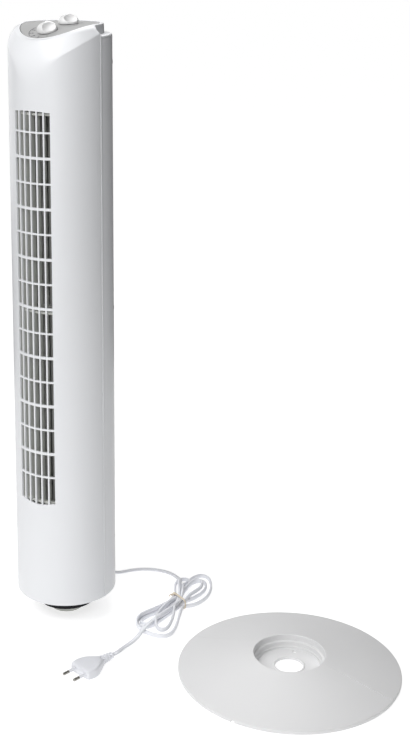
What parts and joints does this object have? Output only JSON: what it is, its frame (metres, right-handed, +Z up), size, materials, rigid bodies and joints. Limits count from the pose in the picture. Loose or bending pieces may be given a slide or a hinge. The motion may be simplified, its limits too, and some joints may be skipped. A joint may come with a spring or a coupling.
{
  "type": "tower fan",
  "caption": "Tower fan with two knobs, swinging foot and cross-flow blower, shown before its round base disc is fitted, with its coiled mains cord.",
  "frame": {"origin": "centre of the foot's underside, on the floor, on the tower's axis", "axes": "+Z up along the tower, -Y the way the air leaves, +X to the right seen from the back of the room looking along +Y"},
  "size_m": [0.5265, 0.3293, 0.7874],
  "materials": {
    "shell_plastic": "white moulded ABS, glossy",
    "base_plastic": "white moulded ABS, satin",
    "inner_plastic": "dark grey moulded plastic",
    "black_plastic": "black moulded plastic",
    "rubber": "black rubber",
    "steel": "plain steel",
    "white_plastic": "white acetal",
    "cord_pvc": "white PVC, slightly glossy",
    "tie_wrap": "beige twist tie",
    "pin_metal": "nickel-plated brass"
  },
  "bodies": {
    "tower": {"front_shell": "shell_plastic", "rear_shell": "shell_plastic", "crown": "shell_plastic", "control_panel": "shell_plastic", "bottom_plate": "shell_plastic", "thrust_washer": "inner_plastic", "swing_deck": "inner_plastic", "swing_motor": "steel", "motor_deck": "inner_plastic", "motor_housing": "steel", "run_capacitor": "black_plastic", "terminal_block": "white_plastic", "louvre_comb": "inner_plastic", "air_guide": "inner_plastic", "air_tongue": "inner_plastic", "upper_deck": "inner_plastic", "top_bearing": "rubber", "speed_switch": "black_plastic", "timer_unit": "inner_plastic", "cord_gland": "cord_pvc", "shell_screw_1": "steel", "shell_screw_2": "steel", "shell_screw_3": "steel", "shell_screw_4": "steel", "shell_screw_5": "steel", "shell_screw_6": "steel", "cord_lead": "cord_pvc", "cord_hank": "cord_pvc", "cord_tie": "tie_wrap", "cord_tail": "cord_pvc", "plug_body": "cord_pvc", "plug_pin_1": "pin_metal", "plug_pin_2": "pin_metal"},
    "foot": {"foot_boss": "inner_plastic", "foot_disc": "black_plastic", "drive_plate": "white_plastic", "drive_screw_1": "steel", "drive_screw_2": "steel"},
    "crank": {"crank": "white_plastic"},
    "blower": {"blower_wheel": "inner_plastic", "motor_shaft": "steel", "hub_coupling": "steel", "top_stub": "steel"},
    "speed_knob": {"speed_knob": "shell_plastic", "speed_knob_shaft": "steel"},
    "timer_knob": {"timer_knob": "shell_plastic", "timer_knob_shaft": "steel"},
    "base": {"base_half_front": "base_plastic", "base_half_rear": "base_plastic", "base_clip_left": "base_plastic", "base_clip_right": "base_plastic", "base_pad_1": "rubber", "base_pad_2": "rubber", "base_pad_3": "rubber", "base_pad_4": "rubber"}
  },
  "joints": [
    {"name": "foot_swing", "type": "hinge", "parent": "tower", "child": "foot", "pos_m": [0, 0, 0.02], "axis": [0, 0, 1], "range_deg": [-35, 35]},
    {"name": "crank_turn", "type": "hinge", "parent": "tower", "child": "crank", "pos_m": [0, 0.02, 0.045], "axis": [0, 0, 1], "range_deg": [-90, 90]},
    {"name": "blower_spin", "type": "hinge", "parent": "tower", "child": "blower", "pos_m": [0, 0.006, 0.42], "axis": [0, 0, 1], "continuous": true},
    {"name": "speed_knob_turn", "type": "hinge", "parent": "tower", "child": "speed_knob", "pos_m": [0, -0.0255, 0.7691], "axis": [0, -0.2419, 0.9703], "range_deg": [-135, 0]},
    {"name": "timer_knob_turn", "type": "hinge", "parent": "tower", "child": "timer_knob", "pos_m": [0, 0.0185, 0.7754], "axis": [0, 0, 1], "range_deg": [-300, 0]},
    {"name": "base_lift", "type": "slide", "parent": "tower", "child": "base", "axis": [0, 0, 1], "range_m": [0, 0.12]}
  ],
  "couplings": [
    {"joint": "crank_turn", "follows": "foot_swing", "ratio": 2.5714}
  ]
}
